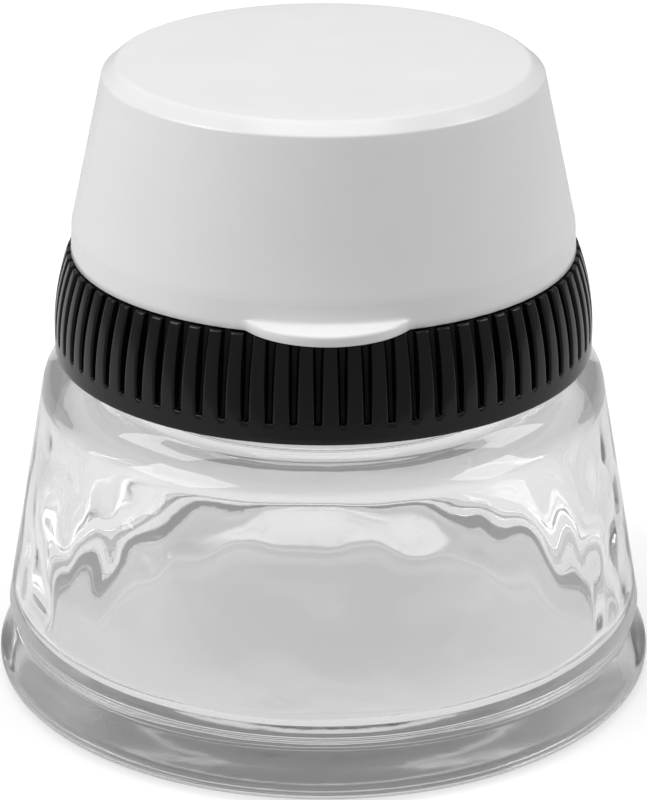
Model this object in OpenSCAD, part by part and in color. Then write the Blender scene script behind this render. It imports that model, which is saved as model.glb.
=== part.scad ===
// Airbrush cleaning pot: a glass jar with a screw collar, a deck that holds the
// airbrush nozzle and a spray filter, and a white cap that covers both.
// Millimetres, +Z up, origin on the table under the jar's axis, thumb tab to -Y.

/* [Jar] */
// Widest diameter of the foot
foot_d = 105; // [95:1:130]
// Height of the foot's widest line above the table
foot_wide_h = 2.3; // [1.5:0.1:3]
// Rounding of the foot's upper edge
foot_round = 3; // [2:0.1:4]
// Height of the crease where the wall springs from the foot
foot_h = 8; // [6:0.5:10]
// Angle over which that rounding turns before it runs straight to the crease
foot_turn = 35; // [25:1:45]
// How far the crease lies inside the foot's widest line
foot_step = 2.8; // [2.5:0.1:4]
// How far the base of the wall swells past the crease
wall_swell = 1; // [0.5:0.1:1.5]
// Height of that swell above the crease, and its rounding
swell_h = 3; // [2:0.5:4]
// Rounding of the crease, as a share of the swell's height
crease_share = 0.5; // [0.2:0.05:0.6]
// Angle over which the swell turns in towards the crease
swell_turn = 40; // [30:1:50]
// Height of the shoulder's top above the table
shoulder_h = 53; // [42:0.1:68]
// Rounding of the shoulder
shoulder_round = 6.5; // [5.5:0.1:6.8]
// How far the shoulder stands out past the collar
shoulder_over = 2.25; // [2:0.05:3]
// Thickness of the jar's wall
glass_wall = 4.8; // [4:0.1:5.2]
// How far the throat's corner lies below the shoulder's top
throat_drop = 4.6; // [4:0.1:5.5]
// Fall of the inside from the throat to the wall, in degrees
throat_fall = 19.5; // [15:0.5:22]
// Share of that slope taken up by the rounding of the throat
throat_share = 0.49; // [0.3:0.01:0.49]
// Share of that slope taken up by the rounding under the shoulder
knee_share = 0.49; // [0.3:0.01:0.49]
// Thickness of the jar's floor
floor_t = 9; // [7:0.5:11]
// Rounding inside, between floor and wall
floor_round = 3; // [2:0.5:8]
// Diameter of the shallow dome under the floor
dome_d = 80; // [60:1:84]
// Height of that dome
dome_h = 1; // [0.5:0.1:2]

/* [Neck] */
// Outer diameter of the glass neck, without its thread
neck_d = 74.8; // [62:0.1:90]
// Thickness of the neck's wall
neck_wall = 4; // [3:0.1:5]
// Height of the neck above the shoulder
neck_h = 11.5; // [9:0.1:14]
// Rounding of the neck's rim
rim_round = 1; // [0.5:0.1:1.5]
// Radial room for the thread between neck and collar
thread_gap = 0.8; // [0.6:0.1:1.2]

/* [Collar] */
// Wall of the collar at its lower edge
collar_wall = 3.8; // [3.5:0.1:5]
// Gap between the shoulder and the collar's lower edge
collar_lift = 0.35; // [0.3:0.05:1.5]
// Height of the plain band under the grooves
collar_band = 3.1; // [2:0.1:5]
// Thickness of the lip that holds the deck down
lip_t = 1.2; // [1:0.1:2]
// How far the lip reaches over the deck's flange
lip_hold = 0.85; // [0.6:0.05:1.2]
// Number of grip grooves
groove_count = 73; // [48:1:90]
// Turn of the grooves about the pot's axis, in degrees
groove_turn = 1.7; // [-2.4:0.05:2.4]
// Depth of a groove
groove_depth = 1; // [0.6:0.1:1.2]
// Width of a groove at its closed lower end
groove_w = 1; // [0.8:0.05:1.4]
// Width of a groove at its open upper end
groove_top_w = 1.45; // [1.2:0.05:1.8]
// Rounding of the collar's edges
collar_edge = 0.4; // [0.2:0.1:0.6]

/* [Cap] */
// Height of the cap from its rim to its top
cap_h = 29.7; // [24:0.1:37]
// Wall of the cap
cap_wall = 2.2; // [1.8:0.1:2.8]
// Height of the plain band at the cap's rim
cap_band = 4.5; // [3:0.1:6]
// How much the band narrows over its height
band_draft = 0.25; // [0:0.05:0.5]
// Slope of the cap's side from the vertical, in degrees
cap_draft = 12.5; // [8:0.5:14]
// Width of the bevel round the cap's top
bevel_w = 2.2; // [2:0.1:3.5]
// Height of that bevel
bevel_h = 1.8; // [1.4:0.05:2.2]
// Rounding of the bevel's lower edge
bevel_edge = 0.7; // [0.3:0.1:1]
// Rounding between the bevel and the cap's top
crown_round = 1.5; // [1:0.1:2.5]
// How far the cap's rim lies inside the collar's upper edge
cap_set_in = 0.6; // [0.3:0.1:1]
// Width of the thumb tab where it leaves the cap
tab_w = 23.8; // [18:0.1:30]
// How far the thumb tab stands out past the cap
tab_reach = 5; // [3:0.1:6]
// Thickness of the thumb tab
tab_t = 1.65; // [1.2:0.05:2.2]
// Rounding of the thumb tab's edge
tab_round = 0.5; // [0.3:0.1:0.6]

/* [Deck] */
// Thickness of the sealing ring on the neck
gasket_t = 1.6; // [1:0.1:2.5]
// Thickness of the deck
deck_t = 1.8; // [1.5:0.1:2.5]
// Height of the upright rim that the cap sits on
rim_h = 7.1; // [6:0.1:8.5]
// Thickness of that rim
rim_t = 1.75; // [1.4:0.05:2.2]
// Depth of the spigot that centres the deck in the neck
spigot_h = 8.5; // [7:0.1:10]
// Thickness of the spigot
spigot_t = 1.6; // [1.2:0.1:2]

/* [Airbrush socket] */
// Tilt of the socket from the vertical, in degrees
socket_tilt = 35; // [25:1:40]
// Bore of the soft bush that grips the airbrush nozzle
bush_bore_d = 12.5; // [10:0.5:15]
// Wall of the soft bush
bush_wall = 3.2; // [2.6:0.1:3.8]
// Thickness of the bush's flange at the mouth
bush_flange_t = 1.6; // [1.2:0.1:2]
// Depth of the tapered lead-in at the mouth of the bush
bush_lead = 3; // [2:0.5:4]
// Wall of the socket tube
socket_wall = 2; // [1.6:0.1:2.4]
// Height along the tube of the ledge that stops the bush
bush_stop = 5; // [4:0.5:6]
// Width of that ledge
stop_w = 1.2; // [0.8:0.1:1.6]
// Distance from the socket's base to the deck's upright rim
socket_margin = 12; // [9:0.5:15]
// Thickness of the socket's base flange
base_t = 2; // [1.5:0.1:2.5]
// Depth of the boss that holds the socket in the deck
boss_h = 4.4; // [3:0.1:5.5]
// Wall of that boss
boss_wall = 1.6; // [1.2:0.1:2]
// Height along the tube of the gussets at its sides
gusset_h = 8; // [6:0.5:9]
// Thickness of a gusset
gusset_t = 1.6; // [1.2:0.1:2]
// Share of the tube's free length that the retaining ring grips
ring_share = 0.5; // [0.4:0.05:0.7]
// Wall of the retaining ring
ring_wall = 1.45; // [1.2:0.05:1.8]
// Thickness of the retaining ring's lip
ring_lip_t = 1.4; // [1:0.1:1.8]
// Number of grip flutes on the retaining ring
flute_count = 20; // [12:1:28]
// Room left between the socket and the inside of the cap
cap_clear = 4; // [3:0.5:6]

/* [Filter] */
// Height of the cup that holds the filter pad
cup_h = 4.5; // [3.5:0.1:5.5]
// Wall of the cup
cup_wall = 1.4; // [1:0.1:1.8]
// Thickness of the filter pad
pad_t = 3.2; // [2:0.1:4]
// Thickness of the filter cover's top
cover_t = 1.4; // [1:0.1:2]
// Wall of the filter cover's skirt
cover_wall = 1.15; // [0.9:0.05:1.5]
// Gap between the filter cover and the socket's base
filter_gap = 2.5; // [2:0.1:4]
// Gap between the filter cover and the deck's upright rim
filter_margin = 2.6; // [1.5:0.1:3]
// Radius of a vent hole
vent_r = 1.1; // [0.8:0.1:1.4]
// Distance between vent holes
vent_pitch = 3.2; // [2.8:0.1:4]
// Height of the filter cover's pull rib
pull_h = 2.4; // [1.5:0.1:3]
// Thickness of the filter cover's pull rib
pull_t = 1.4; // [1:0.1:1.8]

/* [Fits] */
// Gap between pieces that turn or slide past each other
run_gap = 0.3; // [0.2:0.05:0.5]
// Gap around the cap's rim and the deck's spigot
slip_gap = 0.15; // [0.1:0.05:0.3]
// Gap around pieces that are pushed together for good
push_gap = 0.05; // [0.02:0.01:0.1]

/* [Hidden] */
$fn = 96;
arc_steps = 8;
edge_steps = 3;
eps = 0.01;

// Heights of the stack, from the table up
neck_top = shoulder_h + neck_h;
deck_z = neck_top + gasket_t;
deck_top = deck_z + deck_t;
lip_z = deck_top + slip_gap;
collar_z = shoulder_h + collar_lift;
collar_top = lip_z + lip_t;
groove_z = collar_z + collar_band;
cap_z = collar_top + run_gap;
cap_top = cap_z + cap_h;
rim_top = deck_top + rim_h;

// Radii of the closure, from the neck outwards
neck_r = neck_d / 2;
neck_bore = neck_r - neck_wall;
collar_bore = neck_r + thread_gap;
collar_r = collar_bore + collar_wall;
flange_r = collar_bore - run_gap;
lip_r = flange_r - lip_hold;
rim_r = lip_r - run_gap;
rim_in = rim_r - rim_t;
cap_bore = rim_r + slip_gap;
cap_rim_r = cap_bore + cap_wall;
collar_top_r = cap_rim_r + cap_set_in;
spigot_r = neck_bore - slip_gap;

// Jar: the wall's outer line runs from the swell to a tangent on the shoulder
foot_r = foot_d / 2;
crease = [foot_r - foot_step, foot_h];
swell_r = crease.x + wall_swell;
swell_z = foot_h + swell_h;
shoulder_c = [collar_r + shoulder_over - shoulder_round, shoulder_h - shoulder_round];
swell_d = norm([swell_r, swell_z] - shoulder_c);
wall_lean = atan2(swell_z - shoulder_c.y, swell_r - shoulder_c.x) + acos(shoulder_round / swell_d);
wall_out = [cos(wall_lean), sin(wall_lean)];

// Inside of the jar: corners at the throat, under the shoulder and at the floor, and their rounding
inner_top = shoulder_c + (shoulder_round - glass_wall) * wall_out;
throat = [neck_bore, shoulder_h - throat_drop];
fall = [cos(throat_fall), -sin(throat_fall)];
knee = throat + fall * ((inner_top - throat) * wall_out) / (fall * wall_out);
inner_foot = [inner_top.x + (inner_top.y - floor_t) * tan(wall_lean), floor_t];
slope = norm(knee - throat);
throat_round = throat_share * slope * tan((90 + throat_fall) / 2);
knee_round = knee_share * slope * tan((90 + throat_fall + wall_lean) / 2);

// Cap: outer radius at a height, the underside of its top, and its bevel's corners
band_top = cap_z + cap_band;
band_r = cap_rim_r - band_draft;
roof_z = cap_top - cap_wall;
cap_slope = tan(cap_draft);
side_wall = cap_wall / cos(cap_draft);
function cap_side(z) = band_r - (z - band_top) * cap_slope;
bevel_low = [cap_side(cap_top - bevel_h), cap_top - bevel_h];
bevel_top = [bevel_low.x - bevel_w, cap_top];
side_n = [cos(cap_draft), sin(cap_draft)];
bevel_n = [bevel_h, bevel_w] / norm([bevel_h, bevel_w]);
top_n = [0, 1];

// Socket: its length is what the cap leaves free above it and beside it
bush_r = bush_bore_d / 2 + bush_wall;
tube_bore = bush_r + push_gap;
tube_r = tube_bore + socket_wall;
ring_bore = tube_r + push_gap;
ring_r = ring_bore + ring_wall;
base_r = tube_r / cos(socket_tilt) + socket_wall;
boss_r = tube_bore / cos(socket_tilt) + boss_wall;
socket_x = rim_in - socket_margin - base_r;
head = bush_flange_t + ring_lip_t;
roof_reach = (roof_z - cap_clear - deck_top - ring_r * sin(socket_tilt)) / cos(socket_tilt);
wall_room = cap_side(deck_top - ring_r * sin(socket_tilt)) - side_wall - cap_clear;
wall_reach = (wall_room - socket_x - ring_r * cos(socket_tilt))
    / (sin(socket_tilt) + cap_slope * cos(socket_tilt));
tube_len = min(roof_reach, wall_reach) - head;
tube_free = tube_len - (base_t + ring_r * sin(socket_tilt)) / cos(socket_tilt);
ring_grip = tube_free * ring_share;

// Filter: it fills the deck between the rim and the socket's base
cover_r = (rim_in - filter_margin - filter_gap - base_r + socket_x) / 2;
filter_x = cover_r + filter_margin - rim_in;
cup_r = cover_r - cover_wall - slip_gap;
cup_bore = cup_r - cup_wall;
pad_r = cup_bore - slip_gap;
cover_z = deck_top + cup_h;
vent_rings = floor((pad_r - vent_r) / vent_pitch);

// Points along an arc in the profile plane, from angle a to angle b
function arc(c, r, a, b, steps = arc_steps) =
    [for (i = [0 : steps]) let (t = a + (b - a) * i / steps) c + r * [cos(t), sin(t)]];

// Arc that rounds the corner b on the way from a to c
function corner(a, b, c, r) =
    let (to_a = (a - b) / norm(a - b), to_c = (c - b) / norm(c - b), half = acos(to_a * to_c) / 2)
    let (centre = b + (to_a + to_c) / norm(to_a + to_c) * r / sin(half))
    let (start = b + to_a * r / tan(half) - centre, from = atan2(start.y, start.x))
    arc(centre, r, from, from - sign(cross(to_a, to_c)) * (180 - 2 * half));

// Corner p of the cap's outside, between faces with normals n and m, moved in by the wall
function inset(p, n, m) = p - cap_wall * (n + m) / (1 + n * m);

// Places a child on the socket's axis, at a height along the tube
module on_socket(along = 0) {
    translate([socket_x, 0, deck_top]) rotate([0, socket_tilt, 0]) translate([0, 0, along]) children();
}

// Vent holes in rings around the filter's axis, through a plate at height z
module vents(z, t) {
    for (k = [0 : vent_rings], i = [0 : max(6 * k - 1, 0)])
        translate([filter_x, 0, z - eps])
            rotate(k == 0 ? 0 : i * 60 / k)
                translate([k * vent_pitch, 0, 0]) cylinder(r = vent_r, h = t + 2 * eps);
}

module jar_outline() {
    dome_r = (dome_d * dome_d / 4 + dome_h * dome_h) / (2 * dome_h);
    nose = arc([foot_r - foot_round, foot_wide_h], foot_round, 0, foot_turn);
    swell = arc([swell_r - swell_h, swell_z], swell_h, -swell_turn, 0);
    polygon(concat(
        arc([0, dome_h - dome_r], dome_r, 90, acos(dome_d / 2 / dome_r)),
        arc([foot_r - foot_wide_h, foot_wide_h], foot_wide_h, -90, 0),
        nose,
        corner(nose[arc_steps], crease, swell[0], crease_share * swell_h),
        swell,
        arc(shoulder_c, shoulder_round, wall_lean, 90),
        [[neck_r, shoulder_h]],
        arc([neck_r - rim_round, neck_top - rim_round], rim_round, 0, 90),
        arc([neck_bore + rim_round, neck_top - rim_round], rim_round, 90, 180),
        corner([neck_bore, neck_top], throat, knee, throat_round),
        corner(throat, knee, inner_foot, knee_round),
        corner(knee, inner_foot, [0, floor_t], floor_round),
        [[0, floor_t]]
    ));
}

module glass_jar() {
    color([0.86, 0.91, 0.92, 0.45]) rotate_extrude() jar_outline();
}

module neck_gasket() {
    color("ivory") translate([0, 0, neck_top]) difference() {
        cylinder(r = neck_r, h = gasket_t);
        translate([0, 0, -eps]) cylinder(r = neck_bore, h = gasket_t + 2 * eps);
    }
}

// Collar: upright below, then bowed in to the upper edge
module collar_outline() {
    bow_h = collar_top - groove_z;
    bow_in = collar_r - collar_top_r;
    bow_r = (bow_h * bow_h + bow_in * bow_in) / (2 * bow_in);
    bow_c = [collar_r - bow_r, groove_z];
    bow_end = asin((bow_h - collar_edge) / (bow_r - collar_edge));
    edge_c = bow_c + (bow_r - collar_edge) * [cos(bow_end), sin(bow_end)];
    polygon(concat(
        [[collar_bore, collar_z]],
        arc([collar_r - collar_edge, collar_z + collar_edge], collar_edge, -90, 0, edge_steps),
        arc(bow_c, bow_r, 0, bow_end),
        arc(edge_c, collar_edge, bow_end, 90, edge_steps),
        [[lip_r, collar_top], [lip_r, lip_z], [collar_bore, lip_z]]
    ));
}

// Groove cutter: drafted sides, and a floor that leans with the collar
module groove() {
    groove_h = collar_top - groove_z;
    floor_lean = atan2(collar_r - collar_top_r, groove_h);
    cut_h = groove_h / cos(floor_lean) + groove_depth;
    translate([collar_r - groove_depth, 0, groove_z]) rotate([0, -floor_lean, 0])
        rotate([90, 0, 90]) linear_extrude(collar_wall)
            polygon([[-groove_w / 2, 0], [groove_w / 2, 0],
                     [groove_top_w / 2, cut_h], [-groove_top_w / 2, cut_h]]);
}

module screw_collar() {
    color([0.06, 0.06, 0.06]) difference() {
        rotate_extrude() collar_outline();
        for (i = [0 : groove_count - 1]) rotate(groove_turn + i * 360 / groove_count) groove();
    }
}

module deck_outline() {
    polygon([[0, deck_z], [spigot_r - spigot_t, deck_z], [spigot_r - spigot_t, deck_z - spigot_h],
             [spigot_r, deck_z - spigot_h], [spigot_r, deck_z], [flange_r, deck_z],
             [flange_r, deck_top], [rim_r, deck_top], [rim_r, rim_top],
             [rim_in, rim_top], [rim_in, deck_top], [0, deck_top]]);
}

module lid_deck() {
    color([0.07, 0.07, 0.07]) difference() {
        union() {
            rotate_extrude() deck_outline();
            translate([filter_x, 0, deck_z]) difference() {
                cylinder(r = cup_r, h = deck_t + cup_h);
                translate([0, 0, deck_t]) cylinder(r = cup_bore, h = cup_h + eps);
            }
        }
        translate([socket_x, 0, deck_z - eps]) cylinder(r = boss_r + push_gap, h = deck_t + 2 * eps);
        vents(deck_z, deck_t);
    }
}

// What the socket's tube would take up below the deck's upper face
module below_deck() {
    depth = base_r + tube_r;
    translate([socket_x, 0, deck_top - depth]) cylinder(r = 2 * depth, h = depth);
}

// Triangular plate at the tube's side, with its foot in the base flange
module gusset() {
    root = tube_r - socket_wall / 2;
    on_socket() translate([-gusset_t / 2, 0, 0]) rotate([90, 0, 90]) linear_extrude(gusset_t)
        polygon([[root, base_t / 2], [base_r - socket_wall / 2, base_t / 2], [root, gusset_h]]);
}

module airbrush_socket() {
    boss_bore = boss_r - boss_wall;
    color([0.08, 0.08, 0.08]) difference() {
        union() {
            translate([socket_x, 0, deck_top]) cylinder(r = base_r, h = base_t);
            translate([socket_x, 0, deck_top - boss_h]) cylinder(r = boss_r, h = boss_h);
            difference() {
                on_socket(-base_r) cylinder(r = tube_r, h = tube_len + base_r);
                below_deck();
            }
            for (side = [0, 1]) mirror([0, side, 0]) gusset();
        }
        on_socket(bush_stop) cylinder(r = tube_bore, h = tube_len);
        difference() {
            on_socket(-base_r) cylinder(r = tube_bore - stop_w, h = bush_stop + base_r + eps);
            below_deck();
        }
        translate([socket_x, 0, deck_top - boss_h - eps]) cylinder(r = boss_bore, h = boss_h + 2 * eps);
    }
}

module nozzle_bush() {
    bore_r = bush_bore_d / 2;
    lead_r = bore_r + bush_wall / 2;
    end = tube_len - bush_stop;
    color([0.75, 0.75, 0.73]) on_socket(bush_stop) rotate_extrude() polygon([
        [bore_r, 0], [bush_r, 0], [bush_r, end], [tube_r, end], [tube_r, end + bush_flange_t],
        [lead_r, end + bush_flange_t], [bore_r, end + bush_flange_t - bush_lead]]);
}

module bush_ring() {
    lead_r = bush_bore_d / 2 + bush_wall / 2;
    hole_r = (lead_r + bush_r) / 2;
    ring_h = ring_grip + head;
    flute_r = ring_wall / 2;
    color([0.1, 0.1, 0.1]) on_socket(tube_len - ring_grip) difference() {
        rotate_extrude() polygon(concat(
            [[ring_bore, 0], [ring_r, 0]],
            arc([ring_r - ring_lip_t / 2, ring_h - ring_lip_t / 2], ring_lip_t / 2, 0, 90),
            [[hole_r, ring_h], [hole_r, ring_h - ring_lip_t], [ring_bore, ring_h - ring_lip_t]]));
        for (i = [0 : flute_count - 1]) rotate(i * 360 / flute_count)
            translate([ring_r + flute_r / 2, 0, -eps]) cylinder(r = flute_r, h = ring_h - ring_lip_t);
    }
}

module filter_pad() {
    color("gainsboro") translate([filter_x, 0, deck_top]) cylinder(r = pad_r, h = pad_t);
}

module filter_cover() {
    skirt_h = cup_h - run_gap;
    color([0.1, 0.1, 0.1]) difference() {
        union() {
            translate([filter_x, 0, cover_z]) rotate_extrude() polygon(concat(
                [[0, 0], [cover_r - cover_wall, 0], [cover_r - cover_wall, -skirt_h], [cover_r, -skirt_h]],
                arc([cover_r - cover_t / 2, cover_t / 2], cover_t / 2, 0, 90),
                [[0, cover_t]]));
            translate([filter_x, 0, cover_z + cover_t + pull_h / 2])
                cube([pull_t, 2 * vent_pitch - 2 * vent_r, pull_h], center = true);
        }
        vents(cover_z, cover_t);
    }
}

module cap_outline() {
    band_edge = [band_r, band_top];
    polygon(concat(
        [[0, cap_z], [cap_rim_r, cap_z], band_edge],
        corner(band_edge, bevel_low, bevel_top, bevel_edge),
        corner(bevel_low, bevel_top, [0, cap_top], crown_round),
        [[0, cap_top]]));
}

module cap_hollow() {
    ledge = [cap_side(rim_top) - side_wall, rim_top];
    in_low = inset(bevel_low, side_n, bevel_n);
    in_top = inset(bevel_top, bevel_n, top_n);
    polygon(concat(
        [[0, cap_z - eps], [cap_bore, cap_z - eps], [cap_bore, rim_top], ledge],
        corner(ledge, in_low, in_top, bevel_edge),
        corner(in_low, in_top, [0, roof_z], crown_round),
        [[0, roof_z]]));
}

// Thumb tab: a disc whose edge leaves the cap's rim at the tab's width
module thumb_tab() {
    chord = sqrt(cap_rim_r * cap_rim_r - tab_w * tab_w / 4);
    sag = cap_rim_r + tab_reach - chord;
    tab_r = (tab_w * tab_w / 4 + sag * sag) / (2 * sag);
    translate([0, tab_r - cap_rim_r - tab_reach, cap_z]) rotate_extrude() polygon(concat(
        [[0, 0], [tab_r, 0]],
        arc([tab_r - tab_round, tab_t - tab_round], tab_round, 0, 90),
        [[0, tab_t]]));
}

module palette_cap() {
    color("white") difference() {
        union() {
            rotate_extrude() cap_outline();
            thumb_tab();
        }
        rotate_extrude() cap_hollow();
    }
}

glass_jar();
neck_gasket();
screw_collar();
lid_deck();
airbrush_socket();
nozzle_bush();
bush_ring();
filter_pad();
filter_cover();
palette_cap();
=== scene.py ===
"""Looks of an airbrush cleaning pot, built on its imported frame. Metres, +Z up, thumb tab to -Y."""

import math

import bpy
from mathutils import Euler, Matrix, Vector, noise


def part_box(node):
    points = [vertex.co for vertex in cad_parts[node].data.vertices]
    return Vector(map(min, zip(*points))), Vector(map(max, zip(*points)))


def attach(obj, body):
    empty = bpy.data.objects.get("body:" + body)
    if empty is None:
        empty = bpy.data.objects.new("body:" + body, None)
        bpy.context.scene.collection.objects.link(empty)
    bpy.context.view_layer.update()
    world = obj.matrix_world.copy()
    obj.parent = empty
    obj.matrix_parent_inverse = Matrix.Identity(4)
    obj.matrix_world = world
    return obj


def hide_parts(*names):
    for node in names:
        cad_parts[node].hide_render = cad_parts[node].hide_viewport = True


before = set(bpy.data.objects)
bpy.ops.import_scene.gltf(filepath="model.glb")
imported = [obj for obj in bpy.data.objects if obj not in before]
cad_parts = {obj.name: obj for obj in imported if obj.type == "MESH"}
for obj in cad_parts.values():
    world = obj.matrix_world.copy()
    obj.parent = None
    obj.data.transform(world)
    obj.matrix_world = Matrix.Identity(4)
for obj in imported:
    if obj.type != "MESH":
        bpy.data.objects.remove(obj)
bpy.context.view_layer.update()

MM = 0.001
TURN = 2 * math.pi


# Sizes that the frame gives
_, jar_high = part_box("glass_jar")
_, gasket_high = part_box("neck_gasket")
collar_low, collar_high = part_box("screw_collar")
_, deck_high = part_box("lid_deck")
cap_low, cap_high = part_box("palette_cap")
pad_low, pad_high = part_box("filter_pad")

FOOT_R = jar_high.x
NECK_TOP = jar_high.z
NECK_R = gasket_high.x
COLLAR_R = collar_high.x
COLLAR_Z = collar_low.z
COLLAR_TOP = collar_high.z
FLANGE_R = deck_high.x
RIM_TOP = deck_high.z
CAP_Z = cap_low.z
CAP_TOP = cap_high.z
CAP_RIM_R = cap_high.x
TAB_END = -cap_low.y

# Outside of the jar
FOOT_WIDE_H = 2.3 * MM
FOOT_ROUND = 3 * MM
FOOT_TURN = 35
FOOT_H = 8 * MM
FOOT_STEP = 2.8 * MM
CREASE_ROUND = 1.5 * MM
WALL_SWELL = 1 * MM
SWELL_H = 3 * MM
SWELL_TURN = 40
SHOULDER_H = 53 * MM
SHOULDER_ROUND = 6.5 * MM
SHOULDER_OVER = 2.25 * MM
DOME_R = 40 * MM
DOME_H = 1 * MM

# Inside of the jar. The corner at its floor gets rounder towards +Y, between two sines of the angle.
GLASS_WALL = 4.8 * MM
THROAT_Z = 48.4 * MM
THROAT_FALL = math.radians(19.5)
THROAT_ROUND = 4.5 * MM
KNEE_ROUND = 5.45 * MM
NECK_WALL = 4 * MM
RIM_ROUND = 1 * MM
FLOOR_T = 9 * MM
FLOOR_ROUND = 3 * MM
FLOOR_ROUND_BACK = 8 * MM
BACK_BEGINS = -0.3
BACK_FULL = 0.5
JAR_COLUMNS = 288

# Waves of the pressed glass: depth, grain and seed
INNER_WAVE = (0.6 * MM, 24 * MM, 9.2)
INNER_FINE_WAVE = (0.4 * MM, 9 * MM, 7.7)
WALL_WAVE = (0.07 * MM, 18 * MM, 11.3)
FOOT_WAVE = (0.4 * MM, 26 * MM, 5.9)
FOOT_FINE_WAVE = (0.1 * MM, 8 * MM, 2.3)
FLOOR_WAVE = (0.08 * MM, 20 * MM, 17.9)

# The inner waves grow over WAVE_FOOT above the floor, and die out from WAVE_TOP to WAVE_END
WAVE_FOOT = 3 * MM
WAVE_TOP = 36 * MM
WAVE_END = 46 * MM

# Thread. Its run-out and full start are in turns, its crest is a share of its half width.
THREAD_LEAD = 5 * MM
THREAD_TURNS = 1.25
THREAD_RISE = 0.55 * MM
THREAD_HALF = 0.95 * MM
THREAD_CREST = 0.35
THREAD_RUN_OUT = 0.05
THREAD_FULL = 0.02
THREAD_Z = 56.2 * MM
THREAD_DROP = 2.1 * MM

# Collar
COLLAR_BAND = 3.1 * MM
COLLAR_EDGE = 0.4 * MM
COLLAR_GAP = 0.3 * MM
COLLAR_CUT = 0.2 * MM
LIP_T = 1.2 * MM
LIP_HOLD = 0.85 * MM
CAP_SET_IN = 0.6 * MM
GROOVES = 73
GROOVE_TURN = math.radians(1.7)
GROOVE_DEPTH = 1 * MM
GROOVE_W = 1 * MM
GROOVE_TOP_W = 1.45 * MM
RIB_ROUND = 0.3 * MM

# Section of a groove: shares of its half width, then of the rib's rounding, each with a share of the depth
GROOVE_FLANK = ((0, 1), (0.7, 1), (0.88, 0.9), (1, 0.3))
RIB_FLANK = ((0.35, 0.1), (0.8, 0.02), (1.6, 0))

# Lower end of a groove: heights from its foot, each with a share of the depth
GROOVE_END = ((-0.1 * MM, 0), (0.02 * MM, 0.12), (0.09 * MM, 0.9), (0.2 * MM, 1))
GROOVE_CLEAR = 0.4 * MM

# Cap
CAP_WALL = 2.2 * MM
CAP_BAND = 4.5 * MM
BAND_DRAFT = 0.25 * MM
CAP_DRAFT = math.radians(12.5)
BEVEL_W = 2.2 * MM
BEVEL_H = 1.8 * MM
BEVEL_EDGE = 0.7 * MM
CROWN_ROUND = 1.5 * MM
TAB_W = 23.8 * MM
TAB_T = 1.65 * MM
TAB_ROUND = 0.5 * MM
TAB_EDGE = 0.08 * MM
TAB_SEAM = 0.02 * MM
LEDGE_EDGE = 0.05 * MM
MOUTH_CUT = 0.25 * MM
BAND_CREASE = ((0.02 * MM, -0.3 * MM), (-0.03 * MM, 0.2 * MM))
TAB_COLUMNS = 48
REST_COLUMNS = 252

# Filter pad. Its fuzz takes away shares of its radius and of its height.
PAD_SOFT = 0.9 * MM
PAD_CROWN = 0.98
PAD_COLUMNS = 120
FUZZ_GRAIN = 0.7 * MM
FUZZ_SIDE = 0.012
FUZZ_TOP = 0.03

# Looks
GLASS_DENSITY = 22
GROUND_RING = (0.4 * MM, 1.0 * MM)
GROUND_ROUGH = 0.08
# Painted shade in the black plastic's grooves: ambient occlusion within the reach cuts the gloss down to
# the groove level
GROOVE_REACH = 1.6 * MM
GROOVE_SHADE = (0.35, 0.75)
GROOVE_SHADE_GLOSS = 0.02
BLACK_GLOSS = 0.3

# Floor: its size, its tones, and the distances from the pot over which its glow changes
FLOOR_SIDE = 1.6
FLOOR_FRONT = -0.16
FLOOR_BACK = 2.4
FLOOR_DROP = 0.2 * MM
FLOOR_TONE = 0.7
FLOOR_TONE_THROUGH = 0.25
FLOOR_SEEN = 0.42
SEEN_REACH = (0.3, 0.8)
# Through the glass the floor's glow is painted light, brighter near the pot; the disc is a painted shadow
# under the pot's middle
GLOW_NEAR = 0.64
GLOW_FAR = 0.42
GLOW_REACH = (0.05, 0.2)
SHADOW_DISC_LEVEL = 0.88
SHADOW_DISC_REACH = (0.012, 0.038)

# Room
ROOM = 0.372
ROOM_THROUGH = 0.32
ROOM_SIDES = 0.6
SIDES_REACH = (0.3, 0.9)
LAMPS_AIM = Vector((0, 0, 0.06))


def arc(centre, radius, start, end, steps):
    """Points on an arc in the (radius, height) plane, angles in degrees."""
    angles = [math.radians(start + (end - start) * i / steps) for i in range(steps + 1)]
    return [(centre[0] + radius * math.cos(a), centre[1] + radius * math.sin(a)) for a in angles]


def corner(a, b, c, radius, steps):
    """Points on an arc that rounds the corner b on the way from a to c."""
    b = Vector(b)
    to_a = (Vector(a) - b).normalized()
    to_c = (Vector(c) - b).normalized()
    half = to_a.angle(to_c) / 2
    centre = b + (to_a + to_c).normalized() * radius / math.sin(half)
    begin = b + to_a * radius / math.tan(half) - centre
    start = math.degrees(math.atan2(begin.y, begin.x))
    turn = 180 - 2 * math.degrees(half)
    return arc(centre, radius, start, start - math.copysign(turn, to_a.cross(to_c)), steps)


def line(a, b, steps):
    """Points from a to b, leaving both ends out."""
    return [(a[0] + (b[0] - a[0]) * i / steps, a[1] + (b[1] - a[1]) * i / steps) for i in range(1, steps)]


def polar(radius, angle, height):
    return Vector((radius * math.cos(angle), radius * math.sin(angle), height))


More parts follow.
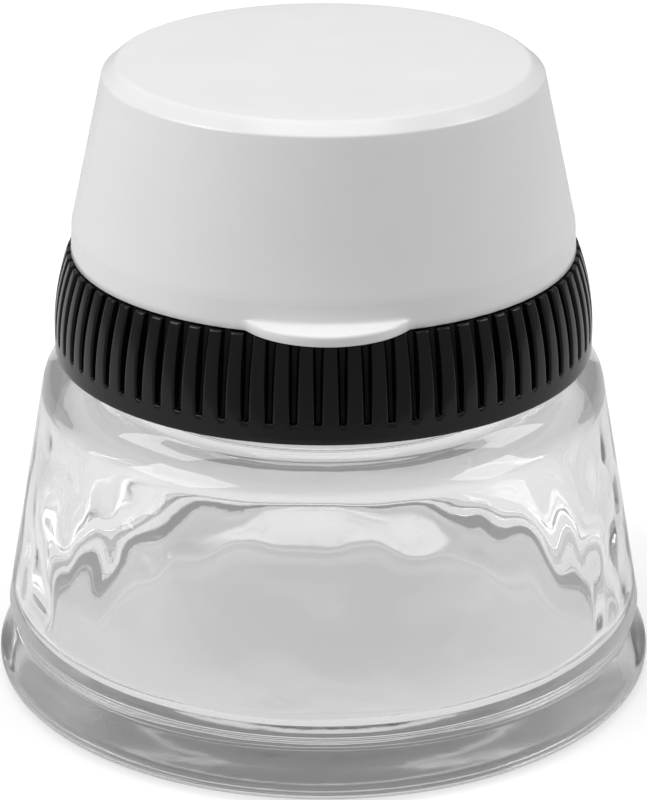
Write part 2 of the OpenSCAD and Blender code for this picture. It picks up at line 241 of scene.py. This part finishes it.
def skin(name, rings, poles=None):
    """A smooth mesh through rings of points.

    Fans close its ends at the poles. Without poles its last ring meets the first.
    """
    count = len(rings[0])
    points = [p for ring in rings for p in ring]
    faces = []
    for i in range(len(rings) - (1 if poles else 0)):
        k = (i + 1) % len(rings)
        for j in range(count):
            n = (j + 1) % count
            faces.append((i * count + j, i * count + n, k * count + n, k * count + j))
    if poles:
        first, last = len(points), len(points) + 1
        points += poles
        top = (len(rings) - 1) * count
        for j in range(count):
            n = (j + 1) % count
            faces.append((first, n, j))
            faces.append((top + j, top + n, last))
    mesh = bpy.data.meshes.new(name)
    mesh.from_pydata(points, [], faces)
    mesh.validate()
    mesh.shade_smooth()
    piece = bpy.data.objects.new(name, mesh)
    bpy.context.scene.collection.objects.link(piece)
    return piece


def smoothstep(low, high, value):
    t = min(max((value - low) / (high - low), 0), 1)
    return t * t * (3 - 2 * t)


def ridge(angle, height, start_z):
    """Share of a thread's full height at this angle and height: one helix that rises with the angle."""
    best = 0
    for k in range(-1, 3):
        turned = angle / TURN + k
        if -THREAD_RUN_OUT <= turned <= THREAD_TURNS + THREAD_RUN_OUT:
            off = abs(height - start_z - THREAD_LEAD * turned) / THREAD_HALF
            begin = smoothstep(-THREAD_RUN_OUT, THREAD_FULL, turned)
            end = smoothstep(THREAD_TURNS + THREAD_RUN_OUT, THREAD_TURNS - THREAD_FULL, turned)
            best = max(best, begin * end * (1 - smoothstep(THREAD_CREST, 1, off)))
    return best


def ripple(angle, height, wave):
    """Smooth noise around the pot, up to about the wave's depth either way."""
    depth, grain, seed = wave
    r = FOOT_R / grain
    return depth * noise.noise(Vector((r * math.cos(angle), r * math.sin(angle), height / grain + seed)))


# Jar
def jar_profile(floor_round):
    """The jar's outline from under the foot, up the outside and down the inside.

    Each point has its radius, its height and the surface that it lies on.
    """
    neck_bore = NECK_R - NECK_WALL
    crease = (FOOT_R - FOOT_STEP, FOOT_H)
    swell = (crease[0] + WALL_SWELL, FOOT_H + SWELL_H)
    shoulder = (COLLAR_R + SHOULDER_OVER - SHOULDER_ROUND, SHOULDER_H - SHOULDER_ROUND)
    away = math.hypot(swell[0] - shoulder[0], swell[1] - shoulder[1])
    lean = math.atan2(swell[1] - shoulder[1], swell[0] - shoulder[0]) + math.acos(SHOULDER_ROUND / away)
    out = Vector((math.cos(lean), math.sin(lean)))
    inner_top = Vector(shoulder) + (SHOULDER_ROUND - GLASS_WALL) * out
    inner_foot = (inner_top.x + (inner_top.y - FLOOR_T) * math.tan(lean), FLOOR_T)
    throat = Vector((neck_bore, THROAT_Z))
    fall = Vector((math.cos(THROAT_FALL), -math.sin(THROAT_FALL)))
    knee = throat + fall * (inner_top - throat).dot(out) / fall.dot(out)
    outline = []

    def add(surface, points):
        outline.extend((r, z, surface) for r, z in points)

    ball = (DOME_R ** 2 + DOME_H ** 2) / (2 * DOME_H)
    dome = arc((0, DOME_H - ball), ball, 90, math.degrees(math.acos(DOME_R / ball)), 24)
    add("under", dome[1:])
    add("under", line(dome[-1], (FOOT_R - FOOT_WIDE_H, 0), 5))
    add("foot", arc((FOOT_R - FOOT_WIDE_H, FOOT_WIDE_H), FOOT_WIDE_H, -90, 0, 8))
    nose = arc((FOOT_R - FOOT_ROUND, FOOT_WIDE_H), FOOT_ROUND, 0, FOOT_TURN, 6)
    add("foot", nose[1:])
    base = arc((swell[0] - SWELL_H, swell[1]), SWELL_H, -SWELL_TURN, 0, 7)
    hollow = corner(nose[-1], crease, base[0], CREASE_ROUND, 6)
    add("foot", line(nose[-1], hollow[0], 7))
    add("foot", hollow)
    add("wall", base)
    top = arc(shoulder, SHOULDER_ROUND, math.degrees(lean), 90, 14)
    add("wall", line(base[-1], top[0], 40))
    add("wall", top)
    add("neck", line(top[-1], (NECK_R, SHOULDER_H), 3))
    add("neck", line((NECK_R, SHOULDER_H), (NECK_R, NECK_TOP - RIM_ROUND), 44))
    add("rim", arc((NECK_R - RIM_ROUND, NECK_TOP - RIM_ROUND), RIM_ROUND, 0, 90, 6))
    add("rim", arc((neck_bore + RIM_ROUND, NECK_TOP - RIM_ROUND), RIM_ROUND, 90, 180, 6))
    curl = corner((neck_bore, NECK_TOP), throat, knee, THROAT_ROUND, 12)
    bend = corner(throat, knee, inner_foot, KNEE_ROUND, 10)
    bowl = corner(knee, inner_foot, (0, FLOOR_T), floor_round, 14)
    add("inside", line((neck_bore, NECK_TOP - RIM_ROUND), curl[0], 6))
    add("inside", curl)
    add("inside", bend)
    add("inside", line(bend[-1], bowl[0], 40))
    add("inside", bowl)
    add("floor", line(bowl[-1], (0, FLOOR_T), 12))
    return outline


def jar_stray(surface, angle, radius, height):
    """How far the glass strays from its true surface, by the waves of the pressing or by the thread."""
    if surface == "inside":
        fade = smoothstep(WAVE_END, WAVE_TOP, height) * smoothstep(FLOOR_T, FLOOR_T + WAVE_FOOT, height)
        return fade * (ripple(angle, height, INNER_WAVE) + ripple(angle, height, INNER_FINE_WAVE))
    if surface == "wall":
        return ripple(angle, height, WALL_WAVE)
    if surface == "foot":
        fade = smoothstep(FOOT_WIDE_H, FOOT_H, height)
        return fade * (ripple(angle, height, FOOT_WAVE) + ripple(angle, height, FOOT_FINE_WAVE))
    if surface == "floor":
        return ripple(angle, height, FLOOR_WAVE) * (radius / DOME_R)
    if surface == "neck":
        return THREAD_RISE * ridge(angle, height, THREAD_Z)
    return 0


def make_jar():
    angles = [TURN * j / JAR_COLUMNS for j in range(JAR_COLUMNS)]
    outlines = []
    for a in angles:
        back = smoothstep(BACK_BEGINS, BACK_FULL, math.sin(a))
        outlines.append(jar_profile(FLOOR_ROUND + back * (FLOOR_ROUND_BACK - FLOOR_ROUND)))
    rings = []
    last = len(outlines[0]) - 1
    for i in range(last + 1):
        ring = []
        for a, outline in zip(angles, outlines):
            r, z, surface = outline[i]
            before = outline[max(i - 1, 0)]
            after = outline[min(i + 1, last)]
            along = Vector((after[0] - before[0], after[1] - before[1])).normalized()
            out = Vector((along.y, -along.x))
            stray = jar_stray(surface, a, r, z)
            ring.append(polar(r + stray * out.x, a, z + stray * out.y))
        rings.append(ring)
    return skin("jar", rings, [Vector((0, 0, DOME_H)), Vector((0, 0, FLOOR_T))])


# Collar
def collar_columns(width):
    """Angles round the collar, each with its depth: 0 on a rib and 1 on a groove's floor."""
    pitch = TURN / GROOVES
    half = width / 2 / COLLAR_R
    edge = RIB_ROUND / COLLAR_R
    side = [(w * half, d) for w, d in GROOVE_FLANK] + [(half + w * edge, d) for w, d in RIB_FLANK]
    spots = [(-a, d) for a, d in reversed(side[1:])] + side + [(pitch / 2, 0)]
    return [(GROOVE_TURN + k * pitch + a, d) for k in range(GROOVES) for a, d in spots]


def make_collar():
    bore = FLANGE_R + COLLAR_GAP
    lip_r = FLANGE_R - LIP_HOLD
    top_r = CAP_RIM_R + CAP_SET_IN
    lip_z = COLLAR_TOP - LIP_T
    groove_z = COLLAR_Z + COLLAR_BAND
    rise = COLLAR_TOP - groove_z
    lean = (COLLAR_R - top_r) / rise
    bow = (rise ** 2 + (COLLAR_R - top_r) ** 2) / (2 * (COLLAR_R - top_r))
    bow_end = math.degrees(math.asin((rise - COLLAR_EDGE) / (bow - COLLAR_EDGE)))
    edge_c = (
        COLLAR_R - bow + (bow - COLLAR_EDGE) * math.cos(math.radians(bow_end)),
        groove_z + (bow - COLLAR_EDGE) * math.sin(math.radians(bow_end)),
    )
    band = arc((COLLAR_R - COLLAR_EDGE, COLLAR_Z + COLLAR_EDGE), COLLAR_EDGE, -90, 0, 4)
    band += line(band[-1], (COLLAR_R, groove_z + GROOVE_END[0][0]), 4)
    body = arc((COLLAR_R - bow, groove_z), bow, 0, bow_end, 24)
    outside = [(r, z, 0) for r, z in band]
    outside += [(COLLAR_R, groove_z + dz, cut) for dz, cut in GROOVE_END]
    outside += [(r, z, 1) for r, z in body if z > groove_z + GROOVE_CLEAR]
    outside += [(r, z, 1) for r, z in arc(edge_c, COLLAR_EDGE, bow_end, 90, 5)[1:]]
    rings = []

    def plain(r, z, thread=0):
        ring = []
        for a, _ in collar_columns(GROOVE_W):
            ring.append(polar(r - thread * ridge(a % TURN, z, THREAD_Z - THREAD_DROP), a, z))
        rings.append(ring)

    for r, z, cut in outside:
        share = max((z - groove_z) / rise, 0)
        floor = COLLAR_R - GROOVE_DEPTH - (z - groove_z) * lean
        width = GROOVE_W + (GROOVE_TOP_W - GROOVE_W) * share
        rings.append([polar(r + (floor - r) * d * cut, a, z) for a, d in collar_columns(width)])
    plain(lip_r + COLLAR_CUT, COLLAR_TOP)
    plain(lip_r, COLLAR_TOP - COLLAR_CUT)
    plain(lip_r, lip_z)
    plain(bore, lip_z)
    for _, z in line((bore, lip_z), (bore, COLLAR_Z), 40):
        plain(bore, z, THREAD_RISE)
    plain(bore, COLLAR_Z + COLLAR_CUT)
    plain(bore + COLLAR_CUT, COLLAR_Z)
    return skin("collar", rings)


# Cap
def make_cap():
    band_top = CAP_Z + CAP_BAND
    band_r = CAP_RIM_R - BAND_DRAFT
    bore = CAP_RIM_R - CAP_WALL
    side_n = Vector((math.cos(CAP_DRAFT), math.sin(CAP_DRAFT)))
    bevel_n = Vector((BEVEL_H, BEVEL_W)).normalized()
    top_n = Vector((0, 1))

    def side(z):
        return band_r - (z - band_top) * math.tan(CAP_DRAFT)

    def inset(p, n, m):
        """The corner p between faces with normals n and m, moved in by the wall."""
        return p - CAP_WALL * (n + m) / (1 + n.dot(m))

    chord = math.sqrt(CAP_RIM_R ** 2 - TAB_W ** 2 / 4)
    sag = TAB_END - chord
    tab_r = (TAB_W ** 2 / 4 + sag ** 2) / (2 * sag)
    tab_c = TAB_END - tab_r
    tab_half = math.asin(TAB_W / 2 / CAP_RIM_R)
    angles = [-tab_half + 2 * tab_half * j / TAB_COLUMNS for j in range(TAB_COLUMNS)]
    angles += [tab_half + (TURN - 2 * tab_half) * j / REST_COLUMNS for j in range(REST_COLUMNS)]

    def reach(a, r, inset_by):
        """Radius of the tab's edge at an angle from -Y, or the cap's own radius where that is larger."""
        if abs(a) >= tab_half:
            return r
        edge = tab_r - inset_by
        return max(r, tab_c * math.cos(a) + math.sqrt(edge ** 2 - (tab_c * math.sin(a)) ** 2))

    def ring(r, z):
        return [polar(r, a - math.pi / 2, z) for a in angles]

    def tab_ring(r, z, inset_by):
        return [polar(reach(a, r, inset_by), a - math.pi / 2, z) for a in angles]

    low = Vector((side(CAP_TOP - BEVEL_H), CAP_TOP - BEVEL_H))
    high = Vector((low.x - BEVEL_W, CAP_TOP))
    in_low = inset(low, side_n, bevel_n)
    in_high = inset(high, bevel_n, top_n)
    ledge_r = side(RIM_TOP) - CAP_WALL / math.cos(CAP_DRAFT)
    roof = (0, in_high.y)
    in_crown = corner(roof, in_high, in_low, CROWN_ROUND, 6)
    in_bevel = corner(in_high, in_low, (ledge_r, RIM_TOP), BEVEL_EDGE, 4)
    inner = line(roof, in_crown[0], 5) + in_crown + in_bevel
    inner += line(in_bevel[-1], (ledge_r, RIM_TOP), 12)
    inner += [(ledge_r, RIM_TOP + LEDGE_EDGE), (ledge_r + LEDGE_EDGE, RIM_TOP)]
    inner += [(bore - LEDGE_EDGE, RIM_TOP), (bore, RIM_TOP - LEDGE_EDGE)]
    inner += line((bore, RIM_TOP), (bore, CAP_Z), 4)
    inner += [(bore, CAP_Z + MOUTH_CUT), (bore + MOUTH_CUT, CAP_Z)]
    rings = [ring(r, z) for r, z in inner]
    rings.append(tab_ring(CAP_RIM_R - TAB_EDGE, CAP_Z, TAB_EDGE))
    rings.append(tab_ring(CAP_RIM_R, CAP_Z + TAB_EDGE, 0))
    draft_in = BAND_DRAFT / CAP_BAND
    for r, z in arc((-TAB_ROUND, CAP_Z + TAB_T - TAB_ROUND), TAB_ROUND, 0, 90, 4):
        rings.append(tab_ring(CAP_RIM_R - (z - CAP_Z) * draft_in, z, -r))
    tab_top = (CAP_RIM_R - TAB_T * draft_in, CAP_Z + TAB_T + TAB_SEAM)
    crown = corner(low, high, (0, CAP_TOP), CROWN_ROUND, 8)
    bevel = corner((band_r, band_top), low, high, BEVEL_EDGE, 6)
    outer = [tab_top] + line(tab_top, (band_r, band_top), 6)
    outer += [(band_r + dr, band_top + dz) for dr, dz in BAND_CREASE]
    outer += line((band_r, band_top), bevel[0], 16) + bevel
    outer += line(bevel[-1], crown[0], 3) + crown
    outer += line(crown[-1], (0, CAP_TOP), 8)
    rings += [ring(r, z) for r, z in outer]
    return skin("cap", rings, [Vector((0, 0, roof[1])), Vector((0, 0, CAP_TOP))])


# Filter pad
def make_pad():
    centre = (pad_low + pad_high) / 2
    radius = (pad_high.x - pad_low.x) / 2
    thick = pad_high.z - pad_low.z
    flat = radius - PAD_SOFT
    outline = line((0, 0), (flat, 0), 8)
    outline += arc((flat, PAD_SOFT), PAD_SOFT, -90, 0, 5)
    outline += arc((flat, thick - PAD_SOFT), PAD_SOFT, 0, 90, 5)
    outline += line((flat, thick), (0, thick), 10)
    rings = []
    for r, z in outline:
        ring = []
        for j in range(PAD_COLUMNS):
            a = TURN * j / PAD_COLUMNS
            fuzz = (1 + noise.noise(polar(r, a, z) / FUZZ_GRAIN)) / 2
            ring.append(polar(r * (1 - FUZZ_SIDE * fuzz), a, z * (1 - FUZZ_TOP * fuzz)))
        rings.append(ring)
    pad = skin("felt_pad", rings, [Vector((0, 0, 0)), Vector((0, 0, thick * PAD_CROWN))])
    pad.data.transform(Matrix.Translation((centre.x, centre.y, pad_low.z)))
    return pad


# Parts of the materials
def material(name):
    mat = bpy.data.materials.new(name)
    mat.use_nodes = True
    return mat, mat.node_tree.nodes, mat.node_tree.links, mat.node_tree.nodes["Principled BSDF"]


def noise_node(nodes, links, scale, detail):
    where = nodes.new("ShaderNodeTexCoord")
    texture = nodes.new("ShaderNodeTexNoise")
    texture.inputs["Scale"].default_value = scale
    texture.inputs["Detail"].default_value = detail
    links.new(where.outputs["Object"], texture.inputs["Vector"])
    return texture.outputs["Fac"]


def ramp(nodes, links, value, across, low, high, smooth=False):
    """Maps a value onto low to high as it runs across a range, and holds the ends."""
    node = nodes.new("ShaderNodeMapRange")
    if smooth:
        node.interpolation_type = "SMOOTHSTEP"
    node.inputs["From Min"].default_value = across[0]
    node.inputs["From Max"].default_value = across[1]
    node.inputs["To Min"].default_value = low
    node.inputs["To Max"].default_value = high
    links.new(value, node.inputs["Value"])
    return node.outputs["Result"]


def spread(nodes, links, value, low, high):
    """Maps a noise value's middle range onto low to high."""
    return ramp(nodes, links, value, (0.3, 0.7), low, high)


def blend(nodes, links, factor, low, high):
    """Goes from one number to another by a factor. Each is a value or a node's output."""
    node = nodes.new("ShaderNodeMix")
    links.new(factor, node.inputs["Factor"])
    for socket, number in (("A", low), ("B", high)):
        if isinstance(number, (int, float)):
            node.inputs[socket].default_value = number
        else:
            links.new(number, node.inputs[socket])
    return node.outputs["Result"]


def grey(level):
    return (level, level, level)


def tint(nodes, links, value, dark, pale):
    node = nodes.new("ShaderNodeMix")
    node.data_type = "RGBA"
    node.inputs["A"].default_value = (*dark, 1)
    node.inputs["B"].default_value = (*pale, 1)
    links.new(value, node.inputs["Factor"])
    return node.outputs["Result"]


def bump(nodes, links, shader, value, depth, strength):
    node = nodes.new("ShaderNodeBump")
    node.inputs["Strength"].default_value = strength
    node.inputs["Distance"].default_value = depth
    links.new(value, node.inputs["Height"])
    links.new(node.outputs["Normal"], shader.inputs["Normal"])


def soften(shader, weight, depth):
    """Lets light spread under the skin."""
    shader.inputs["Subsurface Weight"].default_value = weight
    shader.inputs["Subsurface Radius"].default_value = (depth, depth, depth)


# Materials
def glass():
    """Clear glass, ground where it stands. Shadow rays pass straight through it."""
    mat, nodes, links, shader = material("clear_glass")
    shader.inputs["Base Color"].default_value = (0.987, 0.988, 0.988, 1)
    shader.inputs["Transmission Weight"].default_value = 1
    shader.inputs["IOR"].default_value = 1.5
    where = nodes.new("ShaderNodeTexCoord")
    split = nodes.new("ShaderNodeSeparateXYZ")
    links.new(where.outputs["Object"], split.inputs[0])
    ground = ramp(nodes, links, split.outputs["Z"], GROUND_RING, GROUND_ROUGH, 0)
    links.new(ground, shader.inputs["Roughness"])
    bump(nodes, links, shader, noise_node(nodes, links, 260, 2), 0.02 * MM, 0.5)
    path = nodes.new("ShaderNodeLightPath")
    clear = nodes.new("ShaderNodeBsdfTransparent")
    clear.inputs["Color"].default_value = (0.95, 0.96, 0.955, 1)
    mix = nodes.new("ShaderNodeMixShader")
    links.new(path.outputs["Is Shadow Ray"], mix.inputs["Fac"])
    links.new(shader.outputs["BSDF"], mix.inputs[1])
    links.new(clear.outputs["BSDF"], mix.inputs[2])
    links.new(mix.outputs["Shader"], nodes["Material Output"].inputs["Surface"])
    body = nodes.new("ShaderNodeVolumeAbsorption")
    body.inputs["Color"].default_value = (0.876, 0.876, 0.876, 1)
    body.inputs["Density"].default_value = GLASS_DENSITY
    links.new(body.outputs["Volume"], nodes["Material Output"].inputs["Volume"])
    return mat


def plastic(name, dark, pale, rough, grain, grain_depth):
    """Moulded plastic: a slightly uneven colour, gloss and skin."""
    mat, nodes, links, shader = material(name)
    cloud = noise_node(nodes, links, 60, 3)
    links.new(tint(nodes, links, cloud, dark, pale), shader.inputs["Base Color"])
    links.new(spread(nodes, links, cloud, *rough), shader.inputs["Roughness"])
    bump(nodes, links, shader, noise_node(nodes, links, grain, 2), grain_depth, 0.4)
    return mat


def paint_groove_shade(mat, gloss):
    """Paints shade into narrow grooves, which see little light: ambient occlusion takes their gloss away.
    """
    nodes, links = mat.node_tree.nodes, mat.node_tree.links
    shader = nodes["Principled BSDF"]
    near = nodes.new("ShaderNodeAmbientOcclusion")
    near.samples = 8
    near.inputs["Distance"].default_value = GROOVE_REACH
    level = ramp(nodes, links, near.outputs["AO"], GROOVE_SHADE, GROOVE_SHADE_GLOSS, gloss)
    links.new(level, shader.inputs["Specular IOR Level"])


def rubber(name, dark, pale):
    mat, nodes, links, shader = material(name)
    cloud = noise_node(nodes, links, 150, 4)
    links.new(tint(nodes, links, cloud, dark, pale), shader.inputs["Base Color"])
    links.new(spread(nodes, links, cloud, 0.45, 0.65), shader.inputs["Roughness"])
    soften(shader, 0.15, 1 * MM)
    bump(nodes, links, shader, noise_node(nodes, links, 1800, 3), 0.05 * MM, 0.5)
    return mat


def felt():
    mat, nodes, links, shader = material("filter_felt")
    fibre = noise_node(nodes, links, 1500, 6)
    links.new(tint(nodes, links, fibre, (0.62, 0.62, 0.6), (0.9, 0.9, 0.88)), shader.inputs["Base Color"])
    shader.inputs["Roughness"].default_value = 0.95
    shader.inputs["Sheen Weight"].default_value = 0.3
    bump(nodes, links, shader, fibre, 0.25 * MM, 1)
    return mat


def dress(piece, mat):
    piece.data.materials.clear()
    piece.data.materials.append(mat)


clear_glass = glass()
white_plastic = plastic("white_plastic", grey(0.8), grey(0.84), (0.16, 0.24), 900, 0.01 * MM)
soften(white_plastic.node_tree.nodes["Principled BSDF"], 0.12, 2 * MM)
black_plastic = plastic("black_plastic", grey(0.002), grey(0.005), (0.13, 0.24), 2500, 0.03 * MM)
# The black plastic gets painted shade in its grooves
paint_groove_shade(black_plastic, BLACK_GLOSS)
seal_rubber = rubber("seal_rubber", (0.6, 0.58, 0.52), (0.7, 0.68, 0.62))
grey_silicone = rubber("grey_silicone", (0.3, 0.3, 0.3), (0.38, 0.38, 0.37))

# Pieces
jar = make_jar()
dress(jar, clear_glass)
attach(jar, "jar")
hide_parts("glass_jar")

collar = make_collar()
dress(collar, black_plastic)
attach(collar, "collar")
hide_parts("screw_collar")

cap = make_cap()
dress(cap, white_plastic)
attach(cap, "cap")
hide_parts("palette_cap")

pad = make_pad()
dress(pad, felt())
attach(pad, "deck")
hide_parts("filter_pad")

for node in ("lid_deck", "airbrush_socket", "bush_ring", "filter_cover"):
    dress(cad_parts[node], black_plastic)
dress(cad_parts["neck_gasket"], seal_rubber)
dress(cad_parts["nozzle_bush"], grey_silicone)


# Stage
def floor_white():
    """Pale to the camera, and white far off. Through the glass it glows with painted light, brighter near
    the pot, and a painted shadow disc makes it glow less under the pot's middle.
    """
    mat, nodes, links, shader = material("floor_white")
    shader.inputs["Roughness"].default_value = 0.9
    path = nodes.new("ShaderNodeLightPath")
    through = path.outputs["Is Transmission Ray"]
    tone = tint(nodes, links, through, grey(FLOOR_TONE), grey(FLOOR_TONE_THROUGH))
    links.new(tone, shader.inputs["Base Color"])
    where = nodes.new("ShaderNodeTexCoord")
    away = nodes.new("ShaderNodeVectorMath")
    away.operation = "LENGTH"
    links.new(where.outputs["Object"], away.inputs[0])
    distance = away.outputs["Value"]
    # Painted light through the glass, brighter near the pot, times a painted shadow disc under the pot's
    # middle
    glow_and_shadow = nodes.new("ShaderNodeMath")
    glow_and_shadow.operation = "MULTIPLY"
    links.new(ramp(nodes, links, distance, GLOW_REACH, GLOW_NEAR, GLOW_FAR, smooth=True), glow_and_shadow.inputs[0])
    links.new(ramp(nodes, links, distance, SHADOW_DISC_REACH, SHADOW_DISC_LEVEL, 1, smooth=True), glow_and_shadow.inputs[1])
    glow = blend(nodes, links, through, 0, glow_and_shadow.outputs["Value"])
    plain = ramp(nodes, links, distance, SEEN_REACH, FLOOR_SEEN, 1, smooth=True)
    seen = blend(nodes, links, path.outputs["Is Camera Ray"], glow, plain)
    shader.inputs["Emission Color"].default_value = (1, 1, 1, 1)
    links.new(seen, shader.inputs["Emission Strength"])
    return mat


def make_floor():
    corners = [
        (-FLOOR_SIDE, FLOOR_FRONT, 0),
        (FLOOR_SIDE, FLOOR_FRONT, 0),
        (FLOOR_SIDE, FLOOR_BACK, 0),
        (-FLOOR_SIDE, FLOOR_BACK, 0),
    ]
    mesh = bpy.data.meshes.new("floor")
    mesh.from_pydata(corners, [], [(0, 1, 2, 3)])
    floor = bpy.data.objects.new("floor", mesh)
    floor.location.z = -FLOOR_DROP
    bpy.context.scene.collection.objects.link(floor)
    dress(floor, floor_white())


def make_world():
    """An even room that is lighter at its sides through the glass, and white to the camera."""
    world = bpy.data.worlds.new("studio")
    world.use_nodes = True
    bpy.context.scene.world = world
    nodes, links = world.node_tree.nodes, world.node_tree.links
    path = nodes.new("ShaderNodeLightPath")
    where = nodes.new("ShaderNodeTexCoord")
    split = nodes.new("ShaderNodeSeparateXYZ")
    links.new(where.outputs["Generated"], split.inputs[0])
    aside = nodes.new("ShaderNodeMath")
    aside.operation = "ABSOLUTE"
    links.new(split.outputs["X"], aside.inputs[0])
    sides = ramp(nodes, links, aside.outputs["Value"], SIDES_REACH, ROOM_THROUGH, ROOM_SIDES, smooth=True)
    light = nodes["Background"]
    light.inputs["Color"].default_value = (1, 1, 1, 1)
    level = blend(nodes, links, path.outputs["Is Transmission Ray"], ROOM, sides)
    links.new(level, light.inputs["Strength"])
    seen = nodes.new("ShaderNodeBackground")
    seen.inputs["Color"].default_value = (1, 1, 1, 1)
    seen.inputs["Strength"].default_value = 1.0
    mix = nodes.new("ShaderNodeMixShader")
    links.new(path.outputs["Is Camera Ray"], mix.inputs["Fac"])
    links.new(light.outputs["Background"], mix.inputs[1])
    links.new(seen.outputs["Background"], mix.inputs[2])
    links.new(mix.outputs["Shader"], nodes["World Output"].inputs["Surface"])


def softbox(name, place, side, power):
    lamp = bpy.data.lights.new(name, "AREA")
    lamp.shape = "RECTANGLE"
    lamp.size = side
    lamp.size_y = side
    lamp.energy = power
    box = bpy.data.objects.new(name, lamp)
    box.location = place
    box.rotation_euler = (LAMPS_AIM - Vector(place)).to_track_quat("-Z", "Y").to_euler()
    bpy.context.scene.collection.objects.link(box)


def make_camera():
    away = 453.745 * MM
    height = 232.267 * MM
    pitch = 22.629
    swing = math.radians(-0.95)
    focal_px = 3103.64
    frame_h = 800
    lens = bpy.data.cameras.new("camera")
    lens.sensor_width = 36
    lens.lens = focal_px / frame_h * lens.sensor_width
    lens.clip_start = 0.01
    camera = bpy.data.objects.new("camera", lens)
    camera.location = (away * math.sin(swing), -away * math.cos(swing), height)
    camera.rotation_euler = Euler((math.radians(90 - pitch), 0, swing))
    bpy.context.scene.collection.objects.link(camera)
    bpy.context.scene.camera = camera


make_floor()
make_world()
softbox("left_key", (-0.61, -0.16, 0.6), 0.5, 3.45)
softbox("right_key", (0.64, 0.0, 0.58), 0.4, 2.0)
softbox("top_box", (0.0, 0.0, 0.95), 0.6, 2.5)
make_camera()
bpy.context.scene.view_settings.view_transform = "Standard"
bpy.context.scene.cycles.max_bounces = 32
bpy.context.scene.cycles.transmission_bounces = 28
bpy.context.scene.cycles.glossy_bounces = 28
bpy.context.scene.cycles.caustics_reflective = False
bpy.context.scene.cycles.caustics_refractive = False
